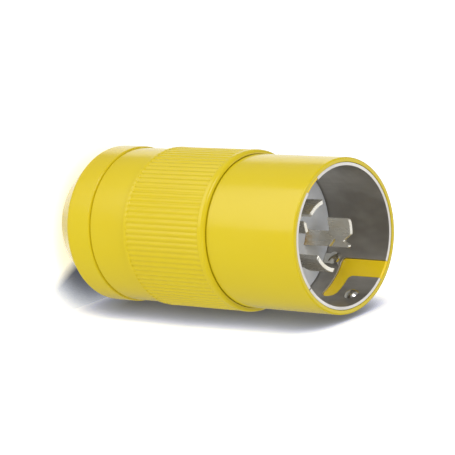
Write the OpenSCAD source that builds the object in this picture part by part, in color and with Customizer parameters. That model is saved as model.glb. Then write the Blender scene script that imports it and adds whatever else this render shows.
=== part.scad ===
// Locking power plug, 50 A size, with a steel shroud, hooked blades and a ribbed grip.
// Millimetres. The plug stands on its rear face at z = 0 and opens towards +Z.

/* [Front sleeve] */
// Outside diameter of the sleeve round the steel shroud
sleeve_diameter = 64; // [62:0.5:68]
// Wall of the sleeve outside the shroud
sleeve_wall = 1.9; // [1.7:0.1:2.4]
// Length of sleeve that stands out of the grip
sleeve_exposed = 47.4; // [44:0.2:54]
// Rounding of the sleeve's front edge
sleeve_edge = 0.8; // [0.3:0.1:0.8]
// Depth of the step down to the sleeve's rear spigot
spigot_step = 1.6; // [1.2:0.1:1.8]
// Length of the rear spigot, behind the gasket
spigot_length = 9; // [6:0.5:11]

/* [Steel shroud] */
// Sheet thickness of the shroud
shroud_wall = 1.4; // [1:0.1:1.6]
// Depth of the shroud's rim inside the sleeve's edge
shroud_setback = 0.3; // [0:0.1:1]
// Depth of the cavity, from the sleeve's edge to the insulator
cavity_depth = 32.3; // [30:0.1:34]
// Length of shroud held behind the insulator's face
shroud_seat = 9; // [6:0.5:10]
// Gap of the butt seam in the rolled sheet
seam_gap = 0.5; // [0.3:0.1:1]
// Direction of the butt seam
seam_angle = 46; // [38:1:56]

/* [Locking slots] */
// Width of the straight entry of each slot
slot_width = 8.1; // [6:0.1:9]
// Depth from the sleeve's edge to the bottom of each slot
slot_depth = 23.4; // [20:0.1:25]
// Width of the locking leg
slot_leg = 7.2; // [5:0.1:8]
// Turn from the entry's middle to the middle of the leg's round end
slot_turn = 28; // [20:1:32]
// Rounding inside the slot's corners
slot_corner = 2.2; // [1:0.1:2.4]
// Depth of the sleeve's yellow key under the shroud's inner face, in each slot
key_sink = 0.4; // [0.2:0.1:0.8]

/* [Blades] */
// Diameter of the circle through the middle of the blades
blade_circle = 28.2; // [27:0.1:29]
// Thickness of the blades
blade_thickness = 1.8; // [1.4:0.1:2]
// Width of blades X and Y across the hook
blade_width = 12; // [11:0.1:13]
// Width of the neutral blade across its hook
neutral_width = 10; // [9:0.1:11]
// Width of each blade's neck
neck_width = 6.2; // [5:0.1:7]
// Length of the hook along the blade
hook_length = 11.4; // [9:0.1:13]
// Depth of blade X's tip inside the sleeve's edge
setback_x = 8.5; // [5:0.1:9]
// Depth of blade Y's tip inside the sleeve's edge
setback_y = 4.6; // [4:0.1:9]
// Depth of the neutral blade's tip inside the sleeve's edge
setback_neutral = 8.7; // [5:0.1:9]
// Rounding of the blades' corners
blade_corner = 0.9; // [0.4:0.1:1.2]
// Width of the neutral blade's bent lip
lip_width = 4.8; // [3:0.1:5.4]
// Step from the neutral blade's tip down to its lip
lip_step = 1.6; // [1:0.1:5]

/* [Insulators] */
// Thickness of the front insulator
face_thickness = 12; // [10:0.5:14]
// Length of the terminal block behind it
block_length = 30; // [28:0.5:34]
// Length of the block's two posts
post_length = 12; // [10:0.5:16]
// Diameter of the posts
post_diameter = 10; // [8:0.5:11]

/* [Terminals] */
// Width of the box lugs
lug_width = 10; // [9:0.2:11]
// Length of the box lugs along the plug
lug_length = 13; // [11:0.5:14]
// Diameter of the wire hole in each lug
wire_hole = 6.4; // [5:0.1:7]
// Diameter of the terminal screws
terminal_screw = 4.8; // [4:0.1:5.2]
// Thickness of the ground strap
strap_thickness = 0.8; // [0.6:0.1:1]

/* [Screws and rivets] */
// Shank diameter of the assembly screws
assembly_screw = 3.8; // [3:0.1:4.2]
// Shank diameter of the centre screw
centre_screw_size = 4.4; // [3.6:0.1:5]
// Head diameter of the slotted screw in the shroud
shroud_screw_head = 5.4; // [4.8:0.1:6]
// Head diameter of the shroud's rivets
rivet_head = 6.4; // [5.4:0.1:6.8]

/* [Body] */
// Length of the ribbed grip, with its plain front band
grip_length = 45; // [43:0.5:52]
// Wall of the grip's front skirt over the sleeve
skirt_wall = 1.6; // [1.4:0.1:2.4]
// Plain band in front of the ribs
front_band = 3; // [2:0.1:4]
// Number of ribs round the grip
rib_count = 90; // [72:2:100]
// Rounding radius of each rib
rib_round = 0.85; // [0.7:0.05:0.95]
// Height of the ribs
rib_height = 0.75; // [0.4:0.05:0.8]
// Length of the smooth band behind the grip
band_length = 21; // [19:0.5:26]
// Drop from the grip to the smooth band
band_drop = 1.05; // [0.8:0.05:1.2]
// Wall of the spigot that carries the cap
body_spigot_wall = 3; // [2.4:0.1:3.4]

/* [Rear cap] */
// Length of the cap, with the gap in front of it
cap_length = 27.2; // [26:0.2:32]
// Step up from the smooth band to the cap
cap_step = 0.65; // [0.4:0.05:0.9]
// Diameter of the flat rear face
cap_face = 42; // [40:0.5:44]
// Rounding between the rear face and the cone
cap_nose_round = 4.2; // [3:0.1:4.6]
// Height at which the cap's shoulder rounding starts
cap_shoulder = 15.2; // [14.6:0.1:16]
// Rounding of the cap's shoulder
cap_shoulder_round = 2.4; // [1.5:0.1:4]
// Wall of the cap beside its thread
cap_side_wall = 3.3; // [2.8:0.1:3.4]
// Wall of the cap's cone
cap_cone_wall = 3.2; // [2.8:0.1:3.6]
// Thickness of the rear lip round the cord hole
cap_lip = 4; // [3:0.1:4.6]
// Diameter of the cord hole
cord_hole = 28; // [24:0.5:30]

/* [Cord grip] */
// Bore of the rubber cord seal
seal_bore = 23; // [19:0.5:24]
// Diameter gripped by the two jaws
jaw_bore = 24; // [20:0.5:25]
// Length of the jaws along the cord
jaw_length = 12; // [9:0.5:13]
// Gap between the jaws
jaw_gap = 5; // [3:0.5:7]
// Distance from the body's inner wall to the middle of each jaw screw
jaw_screw_inset = 10.1; // [9.6:0.1:10.6]
// Shank diameter of the jaw screws
jaw_screw = 3.8; // [3:0.1:4]

/* [Hidden] */
$fn = 96;

// Clearances
snug = 0.1;
thread_gap = 0.05;
mouth_gap = 0.3;
past = 1;

// Directions round the axis, in degrees
blade_x_angle = 184;
blade_y_angle = 63.5;
blade_neutral_angle = 306;
slot_angles = [151.4, 316.3];
rivet_offset = -30;
ground_angle = 230;
screw_angle = 157.2;
post_angles = [111, 351];
blade_angles = [blade_x_angle, blade_y_angle, blade_neutral_angle];
rivet_angles = [for (a = slot_angles) a + rivet_offset];

// Radii, from the sleeve inwards
sleeve_r = sleeve_diameter / 2;
shroud_pocket_r = sleeve_r - sleeve_wall;
shroud_out_r = shroud_pocket_r - snug;
shroud_in_r = shroud_out_r - shroud_wall;
insulator_r = shroud_in_r - snug;
sleeve_spigot_r = sleeve_r - spigot_step;
blade_in_r = blade_circle / 2 - blade_thickness / 2;
blade_out_r = blade_in_r + blade_thickness;

// Radii of the body and the cap
mouth_r = sleeve_r + mouth_gap;
grip_r = mouth_r + skirt_wall;
rib_relief = 0.1;
rib_top_r = grip_r - rib_relief;
rib_base_r = rib_top_r - rib_height;
body_bore_r = sleeve_spigot_r + 2 * snug;
terminal_bore_r = insulator_r + mouth_gap;
band_r = grip_r - band_drop;
cap_r = band_r + cap_step;
cap_bore_r = cap_r - cap_side_wall;
body_spigot_r = cap_bore_r - snug;
body_cavity_r = body_spigot_r - body_spigot_wall;

// Heights, from the rear face
band_z = cap_length;
grip_z = band_z + band_length;
mouth_z = grip_z + grip_length;
rim_z = mouth_z + sleeve_exposed;
floor_z = rim_z - cavity_depth;
shroud_foot_z = floor_z - shroud_seat;
shroud_top_z = rim_z - shroud_setback;
block_top_z = floor_z - face_thickness;
block_z = block_top_z - block_length;
shelf_top_z = block_z - post_length;
tip_x_z = rim_z - setback_x;
tip_y_z = rim_z - setback_y;
tip_neutral_z = rim_z - setback_neutral;

// Sleeve seat in the body
gasket_thickness = 1.5;
sleeve_overlap = 3;
sleeve_shoulder_z = mouth_z - sleeve_overlap;
seat_z = sleeve_shoulder_z - gasket_thickness;
spigot_end_z = seat_z - spigot_length;
mouth_relief = 0.4;
relief_z = mouth_z + 0.4;

// Shelf inside the body
shelf_thickness = 4;
shelf_z = shelf_top_z - shelf_thickness;
wire_opening_r = 13;
post_circle_r = 20;

// Lugs
lug_z = block_z + 1;
lug_in_r = blade_out_r + snug;
screw_head_height = 1.9;
lug_out_r = insulator_r - screw_head_height - snug;
wire_wall = 1.4;
wire_r = lug_in_r + wire_wall + wire_hole / 2;
tail_end_z = lug_z + 1;
blade_widths = [blade_width, blade_width, neutral_width];
lug_angles = concat([for (i = [0 : 2]) blade_angles[i] - neck_turn(blade_widths[i])], [ground_angle]);

// Fasteners of the shroud, the insulator and the block
shroud_screw_r = 1.5;
shroud_screw_z = floor_z + 5.8;
rivet_shank_r = 1.6;
rivet_z = rim_z - 8;
shank_reach = 0.6;
centre_head_r = 4.2;
centre_head_height = 2.4;
centre_sink = 3;
centre_screw_reach = 12;
assembly_reach = 24;

// Ground strap, from its tab at the shroud's screw to its tail at the ground lug
strap_width = 4.4;
strap_tail_width = 8;
strap_in_r = 21;
strap_from = screw_angle - 5;
strap_to = ground_angle + 11;
strap_bed_turn = 1;
strap_top_z = shroud_screw_z + 2;
strap_shelf_z = block_top_z - strap_thickness - snug / 2;
strap_tab_r = chord_r(shroud_in_r, strap_width) - snug / 2 - strap_thickness;

// Ends of the grip
rib_lip = 1.2;
front_round = min(1.4, skirt_wall - 0.1);
edge_break = 0.4;

// Cap outline: a cone tangent to the nose rounding and to the shoulder rounding
nose_c = [cap_face / 2, cap_nose_round];
shoulder_c = [cap_r - cap_shoulder_round, cap_shoulder];
cone_run = shoulder_c - nose_c;
cone_normal_angle = atan2(cone_run[1], cone_run[0])
    - acos((cap_nose_round - cap_shoulder_round) / norm(cone_run));
cone_normal = [cos(cone_normal_angle), sin(cone_normal_angle)];
nose_t = nose_c + cap_nose_round * cone_normal;
shoulder_t = shoulder_c + cap_shoulder_round * cone_normal;
inner_t = shoulder_t - cap_cone_wall * cone_normal;
seat_top_z = 13;
washer_thickness = 1.5;
washer_z = seat_top_z;
body_tail_z = washer_z + washer_thickness + snug;
cap_top_gap = 0.2;
cap_top_z = band_z - cap_top_gap;
oring_r = 0.9;
oring_middle_r = cap_bore_r + oring_r + snug / 2;
oring_z = band_z - oring_r - snug / 2;

// Cord grip
jaw_z = 30;
jaw_stop_r = body_cavity_r - 2.6;
jaw_stop_height = 2;
jaw_screw_z = jaw_z + jaw_length / 2;
jaw_screw_spacing = 2 * (body_cavity_r - jaw_screw_inset);
jaw_flat = body_cavity_r - 13.6;
jaw_tooth = 0.6;
jaw_head_r = 3.3;
jaw_head_height = 2.2;
jaw_nut_r = 3.7;
jaw_nut_height = 2.4;
jaw_screw_length = 2 * jaw_flat + jaw_nut_height + 0.4;

// Distance from the axis of a chord of the given width inside a circle
function chord_r(r, width) = sqrt(r * r - width * width / 4);

// Turn from a blade's middle to the middle of its neck
function neck_turn(width) = asin((width - neck_width) / blade_circle);

// Radius of the inside of the cap's cone at a height
function inner_cone_r(z) = inner_t[0] - (z - inner_t[1]) * cone_normal[1] / cone_normal[0];

// ---- shared shapes ----

module tube(r_in, r_out, z_low, z_high) {
    rotate_extrude()
        translate([r_in, z_low])
            square([r_out - r_in, z_high - z_low]);
}

module sector(r_in, r_out, from_angle, to_angle, z_low, z_high) {
    rotate([0, 0, from_angle])
        rotate_extrude(angle = to_angle - from_angle)
            translate([r_in, z_low])
                square([r_out - r_in, z_high - z_low]);
}

module radial_rod(angle, z, r, r_in, r_out) {
    rotate([0, 0, angle])
        translate([r_in, 0, z])
            rotate([0, 90, 0])
                cylinder(r = r, h = r_out - r_in);
}

module radial_block(angle, r_in, r_out, width, z_low, z_high) {
    rotate([0, 0, angle])
        translate([r_in, -width / 2, z_low])
            cube([r_out - r_in, width, z_high - z_low]);
}

module rounded_rectangle(x_low, x_high, y_low, y_high, r) {
    translate([x_low + r, y_low])
        square([x_high - x_low - 2 * r, y_high - y_low]);
    translate([x_low, y_low + r])
        square([x_high - x_low, y_high - y_low - 2 * r]);
    for (x = [x_low + r, x_high - r], y = [y_low + r, y_high - r])
        translate([x, y]) circle(r = r);
}

// Stands an outline drawn across the radius (x along the turn, y along the axis) at one angle
module across_radius(angle, r_in, r_out) {
    rotate([0, 0, angle])
        translate([r_in, 0, 0])
            rotate([90, 0, 90])
                linear_extrude(r_out - r_in)
                    children();
}

// Slotted head with a low dome; cut_turn is the direction of the driver's slot
module pan_head(r, height, cut_width, cut_depth, cut_turn) {
    dome_r = 1.9 * r;
    difference() {
        intersection() {
            cylinder(r = r, h = height);
            translate([0, 0, height - dome_r]) sphere(r = dome_r);
        }
        rotate([0, 0, cut_turn])
            translate([-r - past, -cut_width / 2, height - cut_depth])
                cube([2 * (r + past), cut_width, cut_depth + past]);
    }
}

// ---- front sleeve and shroud ----

module front_sleeve() {
    color("gold")
    difference() {
        rotate_extrude() {
            difference() {
                union() {
                    translate([shroud_in_r, spigot_end_z])
                        square([sleeve_spigot_r - shroud_in_r, sleeve_shoulder_z - spigot_end_z + past]);
                    // relief inside the grip's mouth
                    translate([shroud_in_r, sleeve_shoulder_z])
                        square([sleeve_r - mouth_relief - shroud_in_r, relief_z - sleeve_shoulder_z + past]);
                    translate([shroud_in_r, relief_z])
                        square([sleeve_r - shroud_in_r, rim_z - sleeve_edge - relief_z]);
                    translate([shroud_in_r, rim_z - sleeve_edge - past])
                        square([sleeve_r - sleeve_edge - shroud_in_r, sleeve_edge + past]);
                    translate([sleeve_r - sleeve_edge, rim_z - sleeve_edge])
                        circle(r = sleeve_edge);
                }
                translate([0, shroud_foot_z])
                    square([shroud_pocket_r, rim_z - shroud_foot_z + past]);
            }
        }
        fastener_pockets();
    }
    color("gold")
    for (a = slot_angles) slot_key(a);
}

// Blind pockets in the sleeve behind the shroud's screw and rivets
module fastener_pockets() {
    pocket_floor_r = shroud_out_r + shank_reach + snug;
    radial_rod(screw_angle, shroud_screw_z, shroud_screw_r + snug, shroud_in_r, pocket_floor_r);
    for (a = rivet_angles)
        radial_rod(a, rivet_z, rivet_shank_r + snug, shroud_in_r, pocket_floor_r);
}

// J-shaped outline of a slot, drawn across the radius at the middle of the slot's turn. ease draws
// its edges in.
module slot_prism(angle, ease) {
    bottom_z = rim_z - slot_depth + ease;
    leg_top_z = rim_z - slot_depth + slot_leg - ease;
    corner_r = slot_corner - ease;
    fillet_r = slot_corner + ease;
    end_r = slot_leg / 2 - ease;
    middle_turn = slot_turn / 2;
    half_entry = asin(slot_width / 2 / shroud_in_r);
    entry_low = shroud_in_r * sin(middle_turn - half_entry) + ease;
    entry_high = shroud_in_r * sin(middle_turn + half_entry) - ease;
    leg_end = shroud_in_r * sin(-middle_turn);
    across_radius(angle - middle_turn, shroud_in_r / 2, shroud_out_r + past) {
        // straight entry, with its outer corner rounded
        translate([entry_low, bottom_z + corner_r])
            square([entry_high - entry_low, rim_z - bottom_z]);
        translate([entry_low, bottom_z])
            square([entry_high - corner_r - entry_low, corner_r + past]);
        translate([entry_high - corner_r, bottom_z + corner_r])
            circle(r = corner_r);
        // fillet between the entry and the leg
        difference() {
            translate([entry_low - fillet_r, leg_top_z - past])
                square([fillet_r + past, fillet_r + past]);
            translate([entry_low - fillet_r, leg_top_z + fillet_r])
                circle(r = fillet_r);
        }
        // locking leg with a round end
        translate([leg_end, bottom_z])
            square([entry_low + past - leg_end, 2 * end_r]);
        translate([leg_end, bottom_z + end_r])
            circle(r = end_r);
    }
}

// Key of the sleeve that fills a slot, up to a little under the sheet's inner face
module slot_key(angle) {
    intersection() {
        tube(shroud_in_r + key_sink, shroud_pocket_r + sleeve_wall / 2, shroud_foot_z, shroud_top_z);
        slot_prism(angle, snug);
    }
}

module steel_shroud() {
    color("silver")
    difference() {
        tube(shroud_in_r, shroud_out_r, shroud_foot_z, shroud_top_z);
        for (a = slot_angles) slot_prism(a, 0);
        radial_block(seam_angle, shroud_in_r - past, shroud_out_r + past, seam_gap,
            shroud_foot_z - past, shroud_top_z + past);
        radial_rod(screw_angle, shroud_screw_z, shroud_screw_r + snug, shroud_in_r - past,
            shroud_out_r + past);
        for (a = rivet_angles)
            radial_rod(a, rivet_z, rivet_shank_r + snug, shroud_in_r - past, shroud_out_r + past);
    }
}

module shroud_rivets() {
    dome_r = 0.61 * rivet_head;
    head_height = 0.265 * rivet_head;
    seat_r = chord_r(shroud_in_r, rivet_head) - snug / 2;
    shank = shroud_out_r + shank_reach - seat_r;
    color("silver")
    for (a = rivet_angles)
        rotate([0, 0, a])
            translate([seat_r, 0, rivet_z])
                rotate([0, -90, 0]) {
                    intersection() {
                        cylinder(d = rivet_head, h = head_height);
                        translate([0, 0, head_height - dome_r]) sphere(r = dome_r);
                    }
                    translate([0, 0, -shank]) cylinder(r = rivet_shank_r, h = shank);
                }
}

module shroud_screw() {
    head_height = 1.8;
    seat_r = strap_tab_r - snug / 2;
    shank = shroud_out_r + shank_reach - seat_r;
    color("lightgrey")
    rotate([0, 0, screw_angle])
        translate([seat_r, 0, shroud_screw_z])
            rotate([0, -90, 0]) {
                pan_head(shroud_screw_head / 2, head_height, 0.9, 1, 40);
                translate([0, 0, -shank]) cylinder(r = shroud_screw_r, h = shank);
            }
}

// ---- blades ----

// Keeps the part of an outline that lies in the blades' ring
module blade_ring(angle) {
    intersection() {
        tube(blade_in_r, blade_out_r, tail_end_z - past, rim_z);
        across_radius(angle, 0, blade_out_r + past) children();
    }
}

// Neck with a hook to one side at its tip
module hooked_outline(width, tip_z) {
    edge = width / 2;
    rounded_rectangle(-edge, edge, tip_z - hook_length, tip_z, blade_corner);
    rounded_rectangle(-edge, neck_width - edge, tail_end_z, tip_z, blade_corner);
}

module blade_x() {
    edge = blade_width / 2;
    notch_x = -3.4;
    notch_depth = 3.2;
    nick_z = tip_x_z - 9.6;
    color("gainsboro")
    blade_ring(blade_x_angle)
        difference() {
            hooked_outline(blade_width, tip_x_z);
            // V notch that leaves a slim point beside the hook
            polygon([[notch_x - 0.3, tip_x_z - notch_depth], [notch_x + 0.3, tip_x_z - notch_depth],
                [notch_x + 3.4, tip_x_z + past], [notch_x - 2, tip_x_z + past]]);
            // slanted nick in the long edge
            polygon([[-edge - past, nick_z - 1.2], [notch_x + 0.5, nick_z + 1.1],
                [notch_x + 0.3, nick_z + 1.9], [-edge - past, nick_z + 0.1]]);
        }
}

module blade_y() {
    color("gainsboro")
    blade_ring(blade_y_angle) hooked_outline(blade_width, tip_y_z);
}

// Hooked blade with a strip at its side that carries a lip bent inwards
module blade_neutral() {
    lip_turn = 32;
    lip_bend = 44;
    lip_angle = blade_neutral_angle + lip_turn;
    lip_top_z = tip_neutral_z - lip_step;
    strip_low_z = floor_z + 2;
    strip_top_z = lip_top_z - 3.6;
    color("gainsboro") {
        intersection() {
            tube(blade_in_r, blade_out_r, tail_end_z - past, rim_z);
            union() {
                across_radius(blade_neutral_angle, 0, blade_out_r + past)
                    hooked_outline(neutral_width, tip_neutral_z);
                sector(blade_in_r - past, blade_out_r + past, blade_neutral_angle - 12, lip_angle,
                    strip_low_z, strip_top_z);
            }
        }
        rotate([0, 0, lip_angle])
            translate([blade_out_r, 0, strip_low_z])
                rotate([0, 0, lip_bend])
                    translate([-blade_thickness, -blade_thickness / 2, 0])
                        cube([blade_thickness, lip_width + blade_thickness / 2, lip_top_z - strip_low_z]);
    }
}

// Slot for a blade's neck, through an insulator
module neck_slot(i, z_low, z_high) {
    intersection() {
        tube(blade_in_r - snug, blade_out_r + snug, z_low, z_high);
        across_radius(blade_angles[i], 0, blade_out_r + past)
            translate([-blade_widths[i] / 2 - snug, z_low])
                square([neck_width + 2 * snug, z_high - z_low]);
    }
}

// ---- insulators ----

module insulator_face() {
    color("lightslategray")
    difference() {
        rotate_extrude()
            polygon([[0, block_top_z], [insulator_r, block_top_z], [insulator_r, floor_z - edge_break],
                [insulator_r - edge_break, floor_z], [0, floor_z]]);
        for (i = [0 : 2]) neck_slot(i, block_top_z - past, floor_z + past);
        translate([0, 0, floor_z - centre_sink])
            cylinder(r = centre_head_r + snug, h = centre_sink + past);
        translate([0, 0, block_top_z - past])
            cylinder(r = centre_screw_size / 2 + snug, h = face_thickness + 2 * past);
        // edge notch for the ground strap
        radial_block(screw_angle, strap_tab_r - snug, insulator_r + past,
            strap_width + 4 * snug, block_top_z - past, floor_z + past);
    }
}

module terminal_block() {
    tail_slot_z = lug_z + lug_length + snug;
    color("dimgray")
    difference() {
        union() {
            translate([0, 0, block_z]) cylinder(r = insulator_r, h = block_length);
            for (a = post_angles)
                rotate([0, 0, a])
                    translate([post_circle_r, 0, shelf_top_z])
                        cylinder(d = post_diameter, h = post_length + past);
        }
        for (i = [0 : 2]) neck_slot(i, block_z - past, block_top_z + past);
        // lug pockets, open to the rear and to the side
        for (a = lug_angles)
            radial_block(a, lug_in_r - snug, insulator_r + past, lug_width + 2 * snug,
                block_z - past, tail_slot_z);
        // bed of the ground strap
        sector(strap_in_r - snug, insulator_r + past, strap_from - strap_bed_turn,
            strap_to + strap_bed_turn, strap_shelf_z, block_top_z + past);
        radial_block(ground_angle, blade_in_r - snug, insulator_r, strap_tail_width + 4 * snug,
            strap_shelf_z, block_top_z + past);
        radial_block(ground_angle, lug_in_r - strap_thickness - 2 * snug, lug_in_r,
            strap_tail_width + 4 * snug, block_z - past, block_top_z + past);
        translate([0, 0, block_top_z - centre_screw_reach - past])
            cylinder(r = centre_screw_size / 2 + thread_gap, h = centre_screw_reach + 2 * past);
        for (a = post_angles)
            rotate([0, 0, a])
                translate([post_circle_r, 0, shelf_top_z - past])
                    cylinder(r = assembly_screw / 2 + thread_gap, h = assembly_reach + 2 * past);
    }
}

module centre_screw() {
    color("silver") {
        translate([0, 0, floor_z - centre_sink])
            pan_head(centre_head_r, centre_head_height, 1.1, 1.2, 25);
        translate([0, 0, block_top_z - centre_screw_reach])
            cylinder(d = centre_screw_size, h = floor_z - centre_sink - block_top_z + centre_screw_reach);
    }
}

module assembly_screws() {
    head_r = 3.5;
    head_height = 2.6;
    color("silver")
    for (a = post_angles)
        rotate([0, 0, a])
            translate([post_circle_r, 0, 0]) {
                translate([0, 0, shelf_z])
                    mirror([0, 0, 1])
                        pan_head(head_r, head_height, 1, 1.2, 15);
                translate([0, 0, shelf_z])
                    cylinder(d = assembly_screw, h = shelf_thickness + assembly_reach);
            }
}

// ---- terminals ----

module ground_strap() {
    tail_out_r = lug_in_r - snug / 2;
    strap_low_z = strap_shelf_z + snug / 2;
    strap_high_z = strap_low_z + strap_thickness;
    color("silver")
    difference() {
        union() {
            radial_block(screw_angle, strap_tab_r, strap_tab_r + strap_thickness, strap_width,
                strap_low_z, strap_top_z);
            sector(strap_in_r, insulator_r - 2 * snug, strap_from, strap_to,
                strap_low_z, strap_high_z);
            radial_block(ground_angle, tail_out_r - strap_thickness, strap_in_r + 2,
                strap_tail_width, strap_low_z, strap_high_z);
            radial_block(ground_angle, tail_out_r - strap_thickness, tail_out_r,
                strap_tail_width, tail_end_z, strap_high_z);
        }
        radial_rod(screw_angle, shroud_screw_z, shroud_screw_r + snug, strap_tab_r - past,
            shroud_in_r + past);
    }
}

module terminal_lugs() {
    screw_z = lug_z + lug_length / 2;
    color("goldenrod")
    for (a = lug_angles)
        difference() {
            intersection() {
                radial_block(a, lug_in_r, lug_out_r, lug_width, lug_z, lug_z + lug_length);
                cylinder(r = insulator_r - snug, h = rim_z);
            }
            rotate([0, 0, a])
                translate([wire_r, 0, lug_z - past])
                    cylinder(d = wire_hole, h = lug_length + 2 * past);
            radial_rod(a, screw_z, terminal_screw / 2 + thread_gap, wire_r, lug_out_r + past);
        }
}

module terminal_screws() {
    screw_z = lug_z + lug_length / 2;
    head_r = terminal_screw / 2 + 0.8;
    shank = lug_out_r - wire_r - 0.6;
    color("silver")
    for (a = lug_angles)
        rotate([0, 0, a])
            translate([lug_out_r, 0, screw_z])
                rotate([0, 90, 0]) {
                    pan_head(head_r, screw_head_height, 1, 0.9, 70);
                    translate([0, 0, -shank]) cylinder(d = terminal_screw, h = shank);
                }
}

// ---- body ----

// Round ribs along the grip, drawn in section
module ribbed_section() {
    circle(r = rib_base_r);
    for (i = [0 : rib_count - 1])
        rotate(i * 360 / rib_count)
            translate([rib_top_r - rib_round, 0])
                circle(r = rib_round, $fn = 16);
}

module body_outside() {
    rib_low_z = grip_z + rib_lip;
    rib_high_z = mouth_z - front_band;
    rotate_extrude() {
        // spigot and smooth band
        polygon([[0, body_tail_z], [body_spigot_r - edge_break, body_tail_z],
            [body_spigot_r, body_tail_z + edge_break], [body_spigot_r, band_z],
            [band_r - edge_break, band_z], [band_r, band_z + edge_break],
            [band_r, grip_z + past], [0, grip_z + past]]);
        // raised lip behind the ribs
        polygon([[0, grip_z], [grip_r - edge_break, grip_z], [grip_r, grip_z + edge_break],
            [grip_r, rib_low_z], [0, rib_low_z]]);
        // plain band in front of the ribs, rounded at its edge
        translate([0, rib_high_z])
            square([grip_r, front_band - front_round]);
        translate([0, mouth_z - front_round - past])
            square([grip_r - front_round, front_round + past]);
        translate([grip_r - front_round, mouth_z - front_round])
            circle(r = front_round);
    }
    translate([0, 0, rib_low_z])
        linear_extrude(rib_high_z - rib_low_z)
            ribbed_section();
}

module body_housing() {
    color("gold")
    difference() {
        body_outside();
        // bores, from the mouth to the rear
        translate([0, 0, seat_z]) cylinder(r = mouth_r, h = mouth_z);
        translate([0, 0, spigot_end_z - mouth_gap]) cylinder(r = body_bore_r, h = mouth_z);
        translate([0, 0, shelf_top_z]) cylinder(r = terminal_bore_r, h = mouth_z);
        translate([0, 0, shelf_z - past]) cylinder(r = wire_opening_r, h = shelf_thickness + 2 * past);
        for (a = post_angles)
            rotate([0, 0, a])
                translate([post_circle_r, 0, shelf_z - past])
                    cylinder(r = assembly_screw / 2 + 2 * snug, h = shelf_thickness + 2 * past);
        translate([0, 0, jaw_z + jaw_length + jaw_stop_height])
            cylinder(r = body_cavity_r, h = shelf_z - jaw_z - jaw_length - jaw_stop_height);
        translate([0, 0, jaw_z]) cylinder(r = jaw_stop_r, h = shelf_z - jaw_z);
        translate([0, 0, body_tail_z - past])
            cylinder(r = body_cavity_r, h = jaw_z + jaw_length - body_tail_z + past);
    }
}

module body_gasket() {
    color("black")
    tube(body_bore_r - snug, sleeve_r - mouth_relief, seat_z, sleeve_shoulder_z);
}

// ---- rear cap ----

module rear_cap() {
    hole_r = cord_hole / 2;
    chamfer = 0.8;
    color("gold")
    rotate_extrude()
        difference() {
            union() {
                polygon([[0, 0], [nose_c[0], 0], nose_t, shoulder_t, [cap_r, shoulder_c[1]],
                    [cap_r, cap_top_z - edge_break], [cap_r - edge_break, cap_top_z], [0, cap_top_z]]);
                translate(nose_c) circle(r = cap_nose_round);
                translate(shoulder_c) circle(r = cap_shoulder_round);
            }
            // seat of the cord seal and threaded bore
            polygon([[0, cap_lip], [inner_cone_r(cap_lip), cap_lip], [inner_cone_r(seat_top_z), seat_top_z],
                [cap_bore_r, seat_top_z], [cap_bore_r, cap_top_z + past], [0, cap_top_z + past]]);
            // cord hole
            polygon([[-past, -past], [hole_r + chamfer + past, -past], [hole_r + chamfer, 0],
                [hole_r, chamfer], [hole_r, cap_lip + past], [-past, cap_lip + past]]);
            // rebate of the sealing ring
            translate([cap_bore_r - past, oring_z - oring_r - snug])
                square([past + 2 * oring_r + snug, cap_top_z]);
            translate([-cap_r, 0]) square([cap_r, cap_top_z]);
        }
}

module cap_gasket() {
    color("black")
    rotate_extrude()
        translate([oring_middle_r, oring_z])
            circle(r = oring_r, $fn = 32);
}

module thrust_washer() {
    color("silver")
    tube(cord_hole / 2 + snug, cap_bore_r - 2 * snug, washer_z, washer_z + washer_thickness);
}

module cord_seal() {
    low_z = cap_lip + snug;
    bore_r = seal_bore / 2;
    lead = 1.5;
    color("black")
    rotate_extrude()
        polygon([[bore_r + lead, low_z], [inner_cone_r(low_z) - 2 * snug, low_z],
            [inner_cone_r(seat_top_z) - 2 * snug, seat_top_z], [bore_r + lead, seat_top_z],
            [bore_r, seat_top_z - lead], [bore_r, low_z + lead]]);
}

// ---- cord grip ----

// Bore with saw teeth that bite the cord's jacket
module toothed_bore() {
    tooth_count = 4;
    rise = 0.85;
    pitch = jaw_length / tooth_count;
    bore_r = jaw_bore / 2;
    rotate_extrude()
        polygon(concat([[0, jaw_z - past], [bore_r + jaw_tooth, jaw_z - past]],
            [for (i = [0 : tooth_count - 1], p = [0, 1])
                [bore_r + jaw_tooth * (1 - p), jaw_z + pitch * (i + p * rise)]],
            [[bore_r + jaw_tooth, jaw_z + jaw_length], [bore_r + jaw_tooth, jaw_z + jaw_length + past],
                [0, jaw_z + jaw_length + past]]));
}

module jaw() {
    reach = body_cavity_r - snug;
    spot = jaw_screw_spacing / 2 - jaw_nut_r - snug;
    difference() {
        intersection() {
            translate([0, 0, jaw_z]) cylinder(r = reach, h = jaw_length);
            translate([-reach, jaw_gap / 2, jaw_z])
                cube([2 * reach, reach, jaw_length]);
        }
        toothed_bore();
        for (side = [-1, 1]) {
            // flat for the screw's head or nut
            translate([side * (spot + reach / 2), jaw_flat + reach / 2, jaw_screw_z])
                cube([reach, reach, jaw_length + 2 * past], center = true);
            translate([side * jaw_screw_spacing / 2, 0, jaw_screw_z])
                rotate([-90, 0, 0])
                    cylinder(r = jaw_screw / 2 + snug, h = reach);
        }
    }
}

module screw_side_jaw() {
    color("dimgray") jaw();
}

module nut_side_jaw() {
    color("dimgray") mirror([0, 1, 0]) jaw();
}

module jaw_screws() {
    color("silver")
    for (side = [-1, 1])
        translate([side * jaw_screw_spacing / 2, jaw_flat, jaw_screw_z])
            rotate([-90, 0, 0]) {
                pan_head(jaw_head_r, jaw_head_height, 0.9, 1, 30);
                translate([0, 0, -jaw_screw_length]) cylinder(d = jaw_screw, h = jaw_screw_length);
            }
}

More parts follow.
